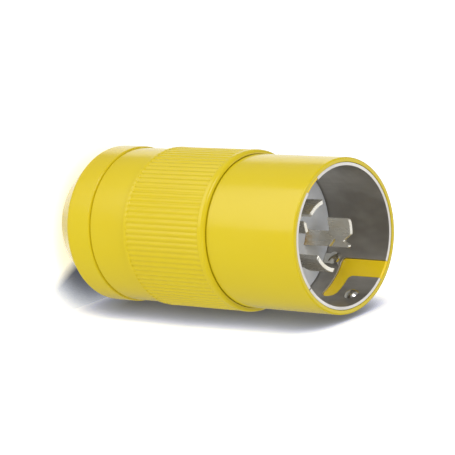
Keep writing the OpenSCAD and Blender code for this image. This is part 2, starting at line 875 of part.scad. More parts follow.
module jaw_nuts() {
    color("silver")
    for (side = [-1, 1])
        translate([side * jaw_screw_spacing / 2, -jaw_flat, jaw_screw_z])
            rotate([90, 0, 0])
                difference() {
                    cylinder(r = jaw_nut_r, h = jaw_nut_height, $fn = 6);
                    translate([0, 0, -past])
                        cylinder(r = jaw_screw / 2 + thread_gap, h = jaw_nut_height + 2 * past);
                }
}

front_sleeve();
steel_shroud();
shroud_rivets();
shroud_screw();
insulator_face();
terminal_block();
blade_x();
blade_y();
blade_neutral();
centre_screw();
ground_strap();
terminal_lugs();
terminal_screws();
assembly_screws();
body_housing();
body_gasket();
rear_cap();
cap_gasket();
thrust_washer();
cord_seal();
screw_side_jaw();
nut_side_jaw();
jaw_screws();
jaw_nuts();
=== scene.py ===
import math

import bmesh
import bpy
from mathutils import Matrix, Vector


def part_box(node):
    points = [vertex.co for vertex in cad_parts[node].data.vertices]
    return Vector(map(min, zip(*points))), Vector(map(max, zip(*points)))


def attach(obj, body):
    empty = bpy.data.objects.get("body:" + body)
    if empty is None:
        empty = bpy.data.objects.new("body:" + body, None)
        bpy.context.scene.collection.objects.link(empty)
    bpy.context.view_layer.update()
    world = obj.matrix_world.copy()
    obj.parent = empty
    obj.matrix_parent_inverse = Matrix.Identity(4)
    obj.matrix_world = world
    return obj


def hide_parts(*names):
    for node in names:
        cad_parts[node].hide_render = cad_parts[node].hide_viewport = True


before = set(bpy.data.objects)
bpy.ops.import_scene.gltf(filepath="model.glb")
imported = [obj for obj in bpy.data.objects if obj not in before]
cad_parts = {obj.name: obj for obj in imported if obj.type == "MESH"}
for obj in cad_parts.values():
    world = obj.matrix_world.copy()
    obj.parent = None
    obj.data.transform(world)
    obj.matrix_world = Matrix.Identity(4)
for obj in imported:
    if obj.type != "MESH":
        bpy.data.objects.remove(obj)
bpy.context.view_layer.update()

bl_info = {
    "name": "Locking Plug",
    "version": (1, 0, 0),
    "blender": (4, 5, 0),
    "location": "3D View > Sidebar > Plug",
    "description": "Moulded, pressed and turned pieces of a locking power plug, with their finishes",
    "category": "Object",
}

MM = 0.001


# ---- the frame's own sizes ----

def steady(value):
    """A size of the frame, rid of what its facets take off."""
    return round(value / MM, 1) * MM


def radius_of(node):
    """Outside radius of a round node."""
    low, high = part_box(node)
    return steady(max(high.x, high.y, -low.x, -low.y))


def ends_of(node):
    """Lowest and highest height of a node."""
    low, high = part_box(node)
    return steady(low.z), steady(high.z)


SLEEVE_R = radius_of("front_sleeve")
SPIGOT_END_Z, RIM_Z = ends_of("front_sleeve")
SHROUD_R = radius_of("steel_shroud")
SHROUD_FOOT_Z, SHROUD_TOP_Z = ends_of("steel_shroud")
GRIP_R = radius_of("body_housing")
TAIL_Z, MOUTH_Z = ends_of("body_housing")
CAP_R = radius_of("rear_cap")
CAP_TOP_Z = ends_of("rear_cap")[1]
SEAT_Z, SHOULDER_Z = ends_of("body_gasket")
BLOCK_TOP_Z, FLOOR_Z = ends_of("insulator_face")
BLADE_TAIL_Z = ends_of("blade_x")[0]

# small roundings and gaps
SOFT = 0.3 * MM
FINE = 0.2 * MM
CRISP = 0.15 * MM

# step in which the blank of a rolled piece is cut across, so that it can be curved
SHROUD_SLICE = 1.1 * MM

# the stage, in metres and, for the shade, in shares of open sky over the sheet
FLOOR_SIZE = 3.0
TABLE_SIZE = 0.6
TABLE_MIDDLE_Z = 0.07
LAMP_DISTANCE = 1.2
CARD_DISTANCE = 1.0
FADE = (0.18, 0.288)
FLOOR_SHADE = (0.4, 0.62, 0.75, 0.85)
TABLE_SHADE = (0, 0.4, 0.6, 0.76)
SHADE_COLOURS = ((0.11, 0.12, 0.165), (0.31, 0.34, 0.44), (0.65, 0.68, 0.77), (1, 1, 1))
# bluer on the table, against the light that the yellow throws on it
TABLE_BLUE = 1.12
# the floor's shade comes in over this range of y less 0.8 of x
LEE_SLOPE = -0.8
LEE = (0.004, 0.011)


def length(name, description, default):
    """A length in millimetres, kept in metres."""
    return bpy.props.FloatProperty(
        name=name, description=description, default=default * MM, unit="LENGTH", precision=5)


def angle(name, description, default):
    """An angle in degrees, kept in radians."""
    return bpy.props.FloatProperty(
        name=name, description=description, default=math.radians(default), unit="ROTATION")


def colour(name, description, default):
    """A linear colour."""
    return bpy.props.FloatVectorProperty(
        name=name, description=description, default=default, subtype="COLOR", size=3, min=0, max=1)


def amount(name, description, default, unit="NONE"):
    """A strength, a power or a focal length."""
    return bpy.props.FloatProperty(name=name, description=description, default=default, min=0, unit=unit)


def number(name, description, default):
    """A count of like things."""
    return bpy.props.IntProperty(name=name, description=description, default=default, min=3)


def vector(name, description, default, subtype):
    """A place in metres, or a direction."""
    return bpy.props.FloatVectorProperty(
        name=name, description=description, default=default, size=3, precision=4, subtype=subtype)


class PlugMouldings(bpy.types.PropertyGroup):
    """Sizes of the yellow mouldings."""
    sleeve_edge: length("Sleeve edge", "Rounding of the sleeve's front edge", 0.8)
    pocket_wall: length("Sleeve wall", "Wall of the sleeve outside the shroud", 1.9)
    spigot_step: length("Spigot step", "Step down to the sleeve's rear spigot", 1.6)
    skirt_wall: length("Skirt wall", "Wall of the grip over the sleeve", 1.6)
    front_band: length("Front band", "Plain band in front of the ribs", 3)
    front_round: length("Front rounding", "Rounding of the grip's front edge", 1.7)
    mouth_gap: length("Mouth gap", "Gap between the grip's mouth and the sleeve", 0.1)
    grip_length: length("Grip length", "Length of the ribbed grip", 45)
    rear_lip: length("Rear lip", "Plain lip behind the ribs", 1.2)
    rib_count: number("Ribs", "Ribs round the grip", 90)
    rib_height: length("Rib height", "Height of the ribs", 0.36)
    rib_relief: length("Rib relief", "Depth of the ribs' crowns under the bands", 0.1)
    band_length: length("Smooth band", "Length of the smooth band behind the grip", 21)
    band_drop: length("Band drop", "Drop from the grip to the smooth band", 1.05)
    edge_break: length("Edge break", "Rounding of the small edges", 0.6)
    thread_step: length("Thread step", "Step from the cap's side to the body's spigot", 3.4)
    tail_wall: length("Spigot wall", "Wall of the spigot that carries the cap", 3)
    cap_face: length("Cap face", "Diameter of the flat rear face", 42)
    nose_round: length("Nose rounding", "Rounding between the rear face and the cone", 4.2)
    shoulder_z: length("Shoulder height", "Height at which the cone's rounding ends", 15.2)
    shoulder_round: length("Shoulder rounding", "Rounding between the cone and the side", 2.4)
    cap_wall: length("Cap wall", "Wall of the cap beside its thread", 3.3)
    cord_hole: length("Cord hole", "Diameter of the cord hole", 28)
    segments: number("Segments", "Segments round a turned piece", 240)


class PlugShroud(bpy.types.PropertyGroup):
    """Sizes of the pressed steel shroud."""
    wall: length("Wall", "Sheet thickness", 1.4)
    edge: length("Sheet edge", "Rounding of the sheet's cut edges", 0.16)
    seam_angle: angle("Seam", "Direction of the butt seam", 46)
    seam_gap: length("Seam gap", "Gap of the butt seam", 0.5)
    slot_a: angle("First slot", "Direction of the first slot's entry", 151.4)
    slot_b: angle("Second slot", "Direction of the second slot's entry", 316.3)
    slot_width: length("Slot width", "Width of each entry", 8.1)
    slot_depth: length("Slot depth", "Depth of each slot under the sleeve's edge", 23.4)
    slot_leg: length("Slot leg", "Width of the locking leg", 7.2)
    slot_turn: angle("Slot turn", "Turn from the entry to the leg's round end", 28)
    slot_corner: length("Slot corner", "Rounding inside the slot", 2.2)
    rivet_turn: angle("Rivet turn", "Turn from a slot's entry to its rivet", -30)
    rivet_depth: length("Rivet depth", "Depth of the rivets under the sleeve's edge", 8)
    rivet_hole: length("Rivet hole", "Radius of the rivets' holes", 1.7)
    screw_angle: angle("Screw", "Direction of the slotted screw", 157.2)
    screw_rise: length("Screw rise", "Height of the slotted screw over the floor", 5.8)
    screw_hole: length("Screw hole", "Radius of the screw's hole", 1.6)
    key_sink: length("Key depth", "Depth of the sleeve's keys under the sheet's inner face", 0.4)
    key_root: length("Key root", "Depth of the keys in the sleeve's wall", 0.3)
    key_gap: length("Key gap", "Gap between a key and its slot", 0.1)
    key_edge: length("Key edge", "Rounding of the keys' edges", 0.3)


class PlugBlades(bpy.types.PropertyGroup):
    """Sizes of the hooked blades."""
    circle: length("Blade circle", "Diameter of the circle through the blades", 28.2)
    thickness: length("Thickness", "Thickness of the blades", 1.8)
    width: length("Width", "Width of blades X and Y across the hook", 12)
    width_neutral: length("Neutral width", "Width of the neutral blade across its hook", 10)
    neck: length("Neck", "Width of the necks", 6.2)
    hook: length("Hook", "Length of the hooks", 11.4)
    corner: length("Corner", "Rounding of the corners", 0.9)
    edge: length("Edge", "Rounding of the pressed edges", 0.22)
    notch_depth: length("Notch", "Depth of blade X's notch", 3.2)
    nick_depth: length("Nick", "Depth of blade X's slanted nick under its tip", 9.6)
    notch_place: length("Notch place", "Middle of the notch, across from the blade's middle", -3.4)
    # height up to which the painted reflection of the yellow moulding reaches up the blades
    reflection_band: length("Heat stain", "Height up to which the blades' roots are stained", 9)
    lip_turn: angle("Lip turn", "Turn from the neutral blade's middle to its bent lip", 32)
    lip_bend: angle("Lip bend", "Bend of the lip towards the axis", 44)
    lip_width: length("Lip", "Width of the bent lip", 4.8)
    lip_step: length("Lip step", "Step from the neutral blade's tip down to its lip", 1.6)
    strip_step: length("Strip step", "Step from the lip down to the strip that carries it", 3.6)
    strip_rise: length("Strip rise", "Height of the strip's foot over the insulator", 2)
    curl: length("Curl", "Radius of the lip's bend, in the middle of the sheet", 1.3)
    angle_x: angle("Blade X", "Direction of blade X", 184)
    angle_y: angle("Blade Y", "Direction of blade Y", 63.5)
    angle_neutral: angle("Neutral blade", "Direction of the neutral blade", 306)


class PlugColours(bpy.types.PropertyGroup):
    """Colours of the finishes."""
    yellow: colour("Yellow", "Moulded yellow nylon", (0.70, 0.55, 0.010))
    yellow_deep: colour("Deep yellow", "Thicker places of the moulding", (0.68, 0.515, 0.008))
    # painted light: the keys' yellow is brighter than the outside yellow, to make up for the shade inside the
    # shroud's mouth
    keys: colour("Keys", "Warmer yellow of the keys in the slots", (1.0, 0.71, 0.014))
    steel: colour("Steel", "Rolled steel of the shroud", (0.52, 0.50, 0.46))
    steel_dark: colour("Steel, dull", "Duller places of the sheet", (0.33, 0.31, 0.28))
    steel_cut: colour("Steel, sheared", "Bright sheared edges of the sheet", (0.76, 0.74, 0.70))
    plate: colour("Plating", "Bright plating of the blades", (0.80, 0.79, 0.74))
    plate_warm: colour("Plating, warm", "Warmer places of the plating", (0.66, 0.60, 0.46))
    # painted reflection of the yellow moulding in the blades' plating, in patches at their roots
    reflected_yellow: colour("Heat stain", "Stain at the roots of the blades", (0.60, 0.36, 0.07))
    brass: colour("Brass", "Terminal lugs", (0.72, 0.50, 0.20))
    brass_dull: colour("Brass, dull", "Tarnished places of the lugs", (0.42, 0.27, 0.10))
    face: colour("Insulator", "Front insulator", (0.68, 0.70, 0.73))
    block: colour("Block", "Terminal block", (0.045, 0.045, 0.05))
    rubber: colour("Rubber", "Seals and gaskets", (0.018, 0.018, 0.019))
    nylon: colour("Jaw nylon", "Cord jaws", (0.06, 0.06, 0.065))


class PlugStage(bpy.types.PropertyGroup):
    """Camera, floor and lamps."""
    lens: amount("Lens", "Focal length in millimetres", 209.7, "CAMERA")
    camera: vector("Camera", "Place of the camera", (0.8246, -0.0345, 0.8241), "TRANSLATION")
    look: vector(
        "View direction", "Direction in which the camera looks", (-0.74038, 0.03047, -0.67150), "DIRECTION")
    up: vector("View up", "Direction that is up in the view", (0.0, -0.99897, -0.04532), "DIRECTION")
    world: amount("World light", "Strength of the soft light all round", 0.42)
    gloss: amount("World in gloss", "Strength of the surroundings in reflections", 0.3)
    key: amount("Key lamp", "Power of the large lamp", 3.7, "POWER")
    fill: amount("Fill lamp", "Power of the lamp on the other side", 3.7, "POWER")
    top: amount("Top lamp", "Power of the lamp over the mouth", 3.2, "POWER")
    card: amount("Side card", "Brightness of the card that is seen in the sides", 1.45)
    end_card: amount("End card", "Brightness of the card that is seen in the end faces", 1.05)
    back_card: amount("Back card", "Brightness of the card that is seen in the upper edges", 0.8)
    glow: amount("Sheet glow", "Light that the floor and the table give off themselves", 0.42)
    table_gap: length("Table gap", "Distance of the table from the grip", 0.3)
    table_turn: angle("Table turn", "Direction in which the table faces", -76)
    contact: length("Contact shade", "Reach of the soft shade where the plug lies on the table", 20)


# ---- outlines ----

def arc(centre, radius, start, end, steps):
    """Points of an arc, its angles in degrees."""
    turn = (end - start) / steps
    return [(centre[0] + radius * math.cos(math.radians(start + i * turn)),
             centre[1] + radius * math.sin(math.radians(start + i * turn))) for i in range(steps + 1)]


def rounded(corners, steps=5):
    """A closed outline with each corner (x, y, radius) rounded by a tangent arc."""
    points = []
    count = len(corners)
    for i, (x, y, radius) in enumerate(corners):
        here = Vector((x, y))
        if radius <= 0:
            points.append((x, y))
            continue
        before = (Vector(corners[i - 1][:2]) - here).normalized()
        after = (Vector(corners[(i + 1) % count][:2]) - here).normalized()
        half = before.angle(after) / 2
        reach = radius / math.tan(half)
        middle = here + (before + after).normalized() * radius / math.sin(half)
        first, last = here + before * reach - middle, here + after * reach - middle
        total = first.angle_signed(last)
        for k in range(steps + 1):
            points.append(tuple(middle + Matrix.Rotation(-total * k / steps, 2) @ first))
    return points


# ---- meshes ----

def add_piece(name, mesh, sharp=40):
    """Puts a smooth-shaded mesh in the scene, riding on the body."""
    for face in mesh.polygons:
        face.use_smooth = True
    mesh.set_sharp_from_angle(angle=math.radians(sharp))
    piece = bpy.data.objects.new(name, mesh)
    bpy.context.scene.collection.objects.link(piece)
    normals = piece.modifiers.new("even shading", "WEIGHTED_NORMAL")
    normals.keep_sharp = True
    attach(piece, "root")
    return piece


def even_turns(count):
    """Angles of even steps round the axis."""
    return [2 * math.pi * i / count for i in range(count)]


def turned(name, outline, turns, ribs=None):
    """Turns a closed outline of (radius, height) round the axis, in facets at the given turns.

    ribs(turn, radius, height) may give a point another radius.
    """
    shape = bmesh.new()
    rings = []
    for radius, height in outline:
        ring = []
        for turn in turns:
            r = ribs(turn, radius, height) if ribs else radius
            ring.append(shape.verts.new((r * math.cos(turn), r * math.sin(turn), height)))
        rings.append(ring)
    count = len(turns)
    for a, ring in enumerate(rings):
        other = rings[(a + 1) % len(rings)]
        for i in range(count):
            j = (i + 1) % count
            shape.faces.new((ring[i], ring[j], other[j], other[i]))
    bmesh.ops.recalc_face_normals(shape, faces=shape.faces)
    mesh = bpy.data.meshes.new(name)
    shape.to_mesh(mesh)
    shape.free()
    return add_piece(name, mesh)


def sheet_blank(outlines, thickness, edge):
    """A flat blank with rounded edges, as a bmesh in millimetres. The first outline is the outside."""
    curve = bpy.data.curves.new("blank", "CURVE")
    curve.dimensions = "2D"
    curve.fill_mode = "BOTH"
    curve.extrude = (thickness / 2 - edge) / MM
    curve.bevel_depth = edge / MM
    curve.bevel_resolution = 2
    curve.offset = -edge / MM
    for outline in outlines:
        spline = curve.splines.new("POLY")
        spline.points.add(len(outline) - 1)
        for point, (x, y) in zip(spline.points, outline):
            point.co = (x / MM, y / MM, 0, 1)
        spline.use_cyclic_u = True
    blank = bpy.data.objects.new("blank", curve)
    bpy.context.scene.collection.objects.link(blank)
    depsgraph = bpy.context.evaluated_depsgraph_get()
    mesh = bpy.data.meshes.new_from_object(blank.evaluated_get(depsgraph))
    shape = bmesh.new()
    shape.from_mesh(mesh)
    bpy.data.objects.remove(blank)
    bpy.data.curves.remove(curve)
    bpy.data.meshes.remove(mesh)
    bmesh.ops.remove_doubles(shape, verts=shape.verts, dist=0.002)
    return shape


def slice_blank(shape, low, high, step):
    """Cuts a blank across at even steps, so that it can be curved."""
    count = max(2, math.ceil((high - low) / step))
    for i in range(1, count):
        x = low + (high - low) * i / count
        bmesh.ops.bisect_plane(
            shape, geom=shape.verts[:] + shape.edges[:] + shape.faces[:],
            plane_co=(x / MM, 0, 0), plane_no=(1, 0, 0), dist=1e-4)
    bmesh.ops.remove_doubles(shape, verts=shape.verts, dist=0.001)


def rolled(name, outlines, thickness, edge, middle_r, step, place):
    """A pressed piece: a blank sliced and curved. place(x, radius) gives a point's place across the axis."""
    shape = sheet_blank(outlines, thickness, edge)
    xs = [p[0] for p in outlines[0]]
    slice_blank(shape, min(xs), max(xs), step)
    for vert in shape.verts:
        x, y = place(vert.co.x * MM, middle_r + vert.co.z * MM)
        vert.co = (x, y, vert.co.y * MM)
    bmesh.ops.recalc_face_normals(shape, faces=shape.faces)
    mesh = bpy.data.meshes.new(name)
    shape.to_mesh(mesh)
    shape.free()
    return add_piece(name, mesh, 35)


# ---- finishes ----

class Finish:
    """A material under construction, round one Principled shader."""

    def __init__(self, name):
        self.material = bpy.data.materials.new(name)
        self.material.use_nodes = True
        self.nodes = self.material.node_tree.nodes
        self.links = self.material.node_tree.links
        self.shader = self.nodes["Principled BSDF"]
        self.place = self.node("TexCoord").outputs["Object"]

    def put(self, value, socket):
        """Links another socket, or sets a value, on an input."""
        if isinstance(value, bpy.types.NodeSocket):
            self.links.new(value, socket)
        else:
            socket.default_value = value

    def fill(self, node, inputs):
        """Puts values on the named inputs of a node."""
        for name, value in inputs.items():
            self.put(value, node.inputs[name.replace("_", " ")])

    def node(self, kind, **inputs):
        """A node with its inputs given by name."""
        node = self.nodes.new("ShaderNode" + kind)
        self.fill(node, inputs)
        return node

    def join(self, kind, *values, operation=None):
        """The first output of a node with its inputs given in order."""
        node = self.nodes.new("ShaderNode" + kind)
        if operation:
            node.operation = operation
        for value, socket in zip(values, node.inputs):
            self.put(value, socket)
        return node.outputs[0]

    def surface(self, **inputs):
        """Puts values on the shader's inputs."""
        self.fill(self.shader, inputs)

    def noise(self, scale, detail=2.0, stretch=None, roughness=0.5):
        """Noise over the piece; scale is per metre, and stretch scales its three directions."""
        place = self.place
        if stretch:
            place = self.node("Mapping", Vector=place, Scale=stretch).outputs["Vector"]
        node = self.node("TexNoise", Vector=place, Scale=scale, Detail=detail, Roughness=roughness)
        return node.outputs["Fac"]

    def spread(self, source, low, high, start=0.3, end=0.7):
        """Maps a pattern's range from start to end onto the range from low to high."""
        node = self.node("MapRange", Value=source, From_Min=start, From_Max=end, To_Min=low, To_Max=high)
        return node.outputs["Result"]

    def blend(self, factor, first, second):
        """A mix of two colours, each a socket or three numbers, by a pattern."""
        node = self.nodes.new("ShaderNodeMix")
        node.data_type = "RGBA"
        self.put(factor, node.inputs[0])
        for value, socket in zip((first, second), (node.inputs[6], node.inputs[7])):
            self.put(value if isinstance(value, bpy.types.NodeSocket) else (*value, 1), socket)
        return node.outputs[2]

    def bump(self, *layers):
        """Bump of (pattern, strength, depth in millimetres) layers."""
        normal = None
        for pattern, strength, depth in layers:
            node = self.node("Bump", Height=pattern, Strength=strength, Distance=depth * MM)
            if normal:
                self.put(normal, node.inputs["Normal"])
            normal = node.outputs["Normal"]
        self.surface(Normal=normal)


def moulded_yellow(name, main, deep):
    """Glossy yellow nylon, with a faint flow in its colour, fine orange peel and light handling marks."""
    finish = Finish(name)
    flow = finish.spread(finish.noise(16), 0, 1)
    marks = finish.noise(140, 4, (1, 1, 0.35), 0.6)
    finish.surface(
        Base_Color=finish.blend(flow, main, deep), Roughness=finish.spread(marks, 0.16, 0.24, 0.35, 0.75),
        IOR=1.5, Specular_IOR_Level=0.5)
    orange_peel = finish.noise(900)
    waves = finish.noise(30, 1)
    finish.bump((orange_peel, 0.06, 0.02), (waves, 0.05, 0.12))
    return finish.material


def outside_yellow(colours):
    """The yellow that the outside mouldings share."""
    name = "moulded yellow"
    return bpy.data.materials.get(name) or moulded_yellow(name, colours.yellow, colours.yellow_deep)


def rolled_steel(name, colours):
    """Satin sheet with rolling lines round the shroud, dull smudges and bright sheared edges."""
    finish = Finish(name)
    lines = finish.noise(1, 5, (60, 60, 2600), 0.65)
    smudge = finish.spread(finish.noise(1, 3, (55, 55, 30), 0.6), 0, 1, 0.35, 0.65)
    streak = finish.spread(finish.noise(1, 4, (240, 240, 25), 0.6), 0, 0.7, 0.5, 0.75)
    facing = finish.node("SeparateXYZ", Vector=finish.node("TexCoord").outputs["Normal"])
    sheared = finish.spread(facing.outputs["Z"], 0, 1, 0.5, 0.8)
    base = finish.blend(smudge, colours.steel, colours.steel_dark)
    base = finish.blend(streak, base, colours.steel_dark)
    base = finish.blend(sheared, base, colours.steel_cut)
    finish.surface(Base_Color=base, Roughness=finish.spread(lines, 0.3, 0.5), Metallic=0.75)
    finish.bump((lines, 0.25, 0.02))
    return finish.material


def plating(name, colours, dull, warmth, grain, metal):
    """Bright plating, warmer in places. dull is its range of roughness; grain is a pattern's (detail,
    stretch, strength).
    """
    finish = Finish(name)
    warm = finish.spread(finish.noise(120, 3), 0, warmth)
    detail, stretch, strength = grain
    lines = finish.noise(1, detail, stretch)
    finish.surface(
        Base_Color=finish.blend(warm, colours.plate, colours.plate_warm),
        Roughness=finish.spread(lines, *dull), Metallic=metal)
    finish.bump((lines, strength, 0.01))
    return finish


def add_reflected_patches(finish, colours, reach):
    """Adds patches of painted reflection of the yellow moulding that fade out at a reach over the insulator's
    face.
    """
    height = finish.node("SeparateXYZ", Vector=finish.place).outputs["Z"]
    low_part = finish.spread(height, 0.75, 0, FLOOR_Z, FLOOR_Z + reach)
    patches = finish.spread(finish.noise(260, 3), 0, 1, 0.4, 0.6)
    reflection_band = finish.join("Math", low_part, patches, operation="MULTIPLY")
    base = finish.shader.inputs["Base Color"].links[0].from_socket
    finish.surface(Base_Color=finish.blend(reflection_band, base, colours.reflected_yellow))


def warm_metal(name, main, dull):
    """Brass with tool lines and a little tarnish."""
    finish = Finish(name)
    tarnish = finish.spread(finish.noise(160, 4), 0, 1, 0.45, 0.75)
    tool_lines = finish.noise(1, 3, (200, 200, 2400))
    finish.surface(
        Base_Color=finish.blend(tarnish, main, dull),
        Roughness=finish.spread(tool_lines, 0.24, 0.42), Metallic=1.0)
    finish.bump((finish.noise(700, 3), 0.15, 0.02))
    return finish.material


def matt_plastic(name, main, low=0.5, high=0.68, texture=0.06):
    """Matt moulding with a fine spark texture and dusty patches."""
    finish = Finish(name)
    dust = finish.spread(finish.noise(90, 4), 0, 1)
    pale = tuple(min(1, c * 1.18 + 0.012) for c in main)
    finish.surface(
        Base_Color=finish.blend(dust, main, pale), Roughness=finish.spread(finish.noise(260, 3), low, high))
    finish.bump((finish.noise(1800), 0.35, texture))
    return finish.material


def soft_rubber(name, main):
    """Black rubber with a dusty bloom."""
    finish = Finish(name)
    bloom = finish.spread(finish.noise(110, 4), 0, 1)
    dusty = tuple(c * 2.2 for c in main)
    finish.surface(
        Base_Color=finish.blend(bloom, main, dusty),
        Roughness=finish.spread(finish.noise(300, 3), 0.55, 0.75))
    finish.bump((finish.noise(1400, 3), 0.4, 0.05))
    return finish.material


def pale_sheet(name, stage, table):
    """Plain surface of the floor or the table, with a soft contact shade and edges that fade away."""
    finish = Finish(name)
    contact = finish.node("AmbientOcclusion", Distance=stage.contact)
    contact.samples = 12
    shade = finish.node("ValToRGB", Fac=contact.outputs["AO"])
    ramp = shade.color_ramp.elements
    ramp.new(0.4)
    ramp.new(0.6)
    places = TABLE_SHADE if table else FLOOR_SHADE
    for element, place, (red, green, blue) in zip(ramp, places, SHADE_COLOURS):
        element.position = place
        element.color = (red, green, min(1, blue * TABLE_BLUE) if table else blue, 1)
    base = shade.outputs["Color"]
    far = finish.node("VectorMath", Vector=finish.place)
    far.operation = "LENGTH"
    faded = finish.spread(far.outputs["Value"], 0, 1, *FADE)
    if table:
        # one-sided
        behind = finish.node("NewGeometry").outputs["Backfacing"]
        faded = finish.join("Math", faded, behind, operation="MAXIMUM")
    else:
        # shaded only on the side away from the key lamp; faded only in view, so that it still lights the plug
        spot = finish.node("SeparateXYZ", Vector=finish.place)
        slant = finish.join(
            "Math", spot.outputs["X"], LEE_SLOPE, spot.outputs["Y"], operation="MULTIPLY_ADD")
        base = finish.blend(finish.spread(slant, 0, 1, *LEE), (1, 1, 1), base)
        in_view = finish.node("LightPath").outputs["Is Camera Ray"]
        faded = finish.join("Math", faded, in_view, operation="MULTIPLY")
    finish.surface(Base_Color=base, Roughness=0.9, Specular_IOR_Level=0.0)
    glow = finish.node("Emission", Color=base, Strength=stage.glow)
    lit = finish.join("AddShader", finish.shader.outputs["BSDF"], glow.outputs["Emission"])
    shown = finish.join("MixShader", faded, lit, finish.node("BsdfTransparent").outputs["BSDF"])
    finish.put(shown, finish.nodes["Material Output"].inputs["Surface"])
    return finish.material


def dress(piece, material):
    """Gives a piece its material, in a single slot."""
    piece.data.materials.clear()
    piece.data.materials.append(material)


# ---- pieces ----

def slot_outline(sizes, slot, top_z, ease=0.0):
    """The J of a locking slot, unrolled at the shroud's inner face and drawn in by ease, from rim to rim."""
    inner = SHROUD_R - sizes.wall
    bottom = RIM_Z - sizes.slot_depth + ease
    leg_top = RIM_Z - sizes.slot_depth + sizes.slot_leg - ease
    half = sizes.slot_width / 2 - ease
    entry = slot * inner
    leg = entry - sizes.slot_turn * inner
    fillet, corner, end_r = sizes.slot_corner + ease, sizes.slot_corner - ease, sizes.slot_leg / 2 - ease
    outline = [(entry - half, top_z)]
    outline += arc((entry - half - fillet, leg_top + fillet), fillet, 0, -90, 8)
    outline += arc((leg, bottom + end_r), end_r, 90, 270, 20)
    outline += arc((entry + half - corner, bottom + corner), corner, -90, 0, 8)
    return outline + [(entry + half, top_z)]


def round_shroud(x, radius):
    """Place across the axis of a point unrolled at the shroud's inner face."""
    turn = x / (SHROUD_R - bpy.context.scene.plug_shroud.wall)
    return radius * math.cos(turn), radius * math.sin(turn)


class PLUG_OT_front_sleeve(bpy.types.Operator):
    """Turns the yellow sleeve that stands round the steel shroud"""
    bl_idname = "plug.front_sleeve"
    bl_label = "Front sleeve"

    def execute(self, context):
        scene = context.scene
        sizes, shroud, colours = scene.plug_mouldings, scene.plug_shroud, scene.plug_colours
        pocket = SLEEVE_R - sizes.pocket_wall
        spigot = SLEEVE_R - sizes.spigot_step
        inner = SHROUD_R - shroud.wall
        # shallow step where the sleeve enters the grip
        relief = 0.4 * MM
        relief_r, relief_z = SLEEVE_R - relief, MOUTH_Z + relief
        outline = rounded([
            (inner, SPIGOT_END_Z, SOFT), (spigot, SPIGOT_END_Z, SOFT), (spigot, SHOULDER_Z, 0),
            (relief_r, SHOULDER_Z, FINE), (relief_r, relief_z, 0.1 * MM), (SLEEVE_R, relief_z, CRISP),
            (SLEEVE_R, RIM_Z, sizes.sleeve_edge), (pocket, RIM_Z, CRISP), (pocket, SHROUD_FOOT_Z, 0),
            (inner, SHROUD_FOOT_Z, 0)], 6)
        sleeve = turned("front_sleeve_moulding", outline, even_turns(sizes.segments))
        dress(sleeve, outside_yellow(colours))
        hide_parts("front_sleeve")
        # keys that fill the shroud's slots, in a yellow painted brighter than the outside yellow as painted light
        # against the shade inside the mouth
        key_yellow_painted_light = moulded_yellow("moulded yellow keys", colours.keys, tuple(c * 0.94 for c in colours.keys))
        low, high = inner + shroud.key_sink, pocket + shroud.key_root
        for name, slot in (("slot_key_a", shroud.slot_a), ("slot_key_b", shroud.slot_b)):
            key = slot_outline(shroud, slot, SHROUD_TOP_Z, shroud.key_gap)
            middle = (low + high) / 2
            piece = rolled(name, [key], high - low, shroud.key_edge, middle, SHROUD_SLICE, round_shroud)
            dress(piece, key_yellow_painted_light)
            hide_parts("front_sleeve")
        return {"FINISHED"}


class PLUG_OT_ribbed_body(bpy.types.Operator):
    """Turns the yellow body, with its ribbed grip and smooth band"""
    bl_idname = "plug.ribbed_body"
    bl_label = "Ribbed body"

    def execute(self, context):
        sizes = context.scene.plug_mouldings
        mouth = SLEEVE_R + sizes.mouth_gap
        band = GRIP_R - sizes.band_drop
        grip_z = MOUTH_Z - sizes.grip_length
        band_z = grip_z - sizes.band_length
        rib_low, rib_high = grip_z + sizes.rear_lip, MOUTH_Z - sizes.front_band
        # spigot that carries the cap
        tail = CAP_R - sizes.thread_step
        tail_bore = tail - sizes.tail_wall
        bore = SLEEVE_R - sizes.spigot_step + FINE
        bore_z = SPIGOT_END_Z - SOFT
        crown = GRIP_R - sizes.rib_relief
        edge = sizes.edge_break
        # shallow seam at the cap
        seam_r, seam_z = band - edge - 0.05 * MM, CAP_TOP_Z + 0.02 * MM
        # length in which the ribs rise out of the plain bands
        run = 0.45 * MM
        outline = rounded([
            (tail_bore, TAIL_Z, SOFT), (tail, TAIL_Z, SOFT), (tail, seam_z, 0), (seam_r, seam_z, 0),
            (seam_r, band_z, 0), (band, band_z, edge), (band, grip_z, 0.25 * MM), (GRIP_R, grip_z, edge)], 4)
        outline += [(GRIP_R, rib_low)]
        outline += [(crown, rib_low + run * k / 4) for k in (1, 2, 3, 4)]
        outline += [(crown, rib_low + (rib_high - rib_low) * k / 6) for k in range(1, 6)]
        outline += [(crown, rib_high - run * k / 4) for k in (4, 3, 2, 1)]
        outline += [(GRIP_R, rib_high)]
        outline += rounded([
            (mouth, SEAT_Z, 0), (GRIP_R, rib_high + FINE, 0), (GRIP_R, MOUTH_Z, sizes.front_round),
            (mouth, MOUTH_Z, CRISP), (mouth, SEAT_Z, 0), (bore, SEAT_Z, 0), (bore, bore_z, 0),
            (tail_bore, SPIGOT_END_Z - sizes.tail_wall, 0)], 6)[1:]

        pitch = 2 * math.pi / sizes.rib_count
        steps = 12
        turns = [i * pitch / steps for i in range(sizes.rib_count * steps)]

        def rib(turn, radius, height):
            if radius != crown:
                return radius
            # broad round crowns with narrower valleys between them
            wave = 0.5 - 0.5 * math.cos(2 * math.pi * turn / pitch)
            ease = min(1, (height - rib_low) / run, (rib_high - height) / run)
            ease = math.sin(ease * math.pi / 2)
            return GRIP_R - (sizes.rib_relief + sizes.rib_height * wave ** 1.5) * ease

        body = turned("ribbed_body_moulding", outline, turns, rib)
        dress(body, outside_yellow(context.scene.plug_colours))
        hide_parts("body_housing")
        return {"FINISHED"}


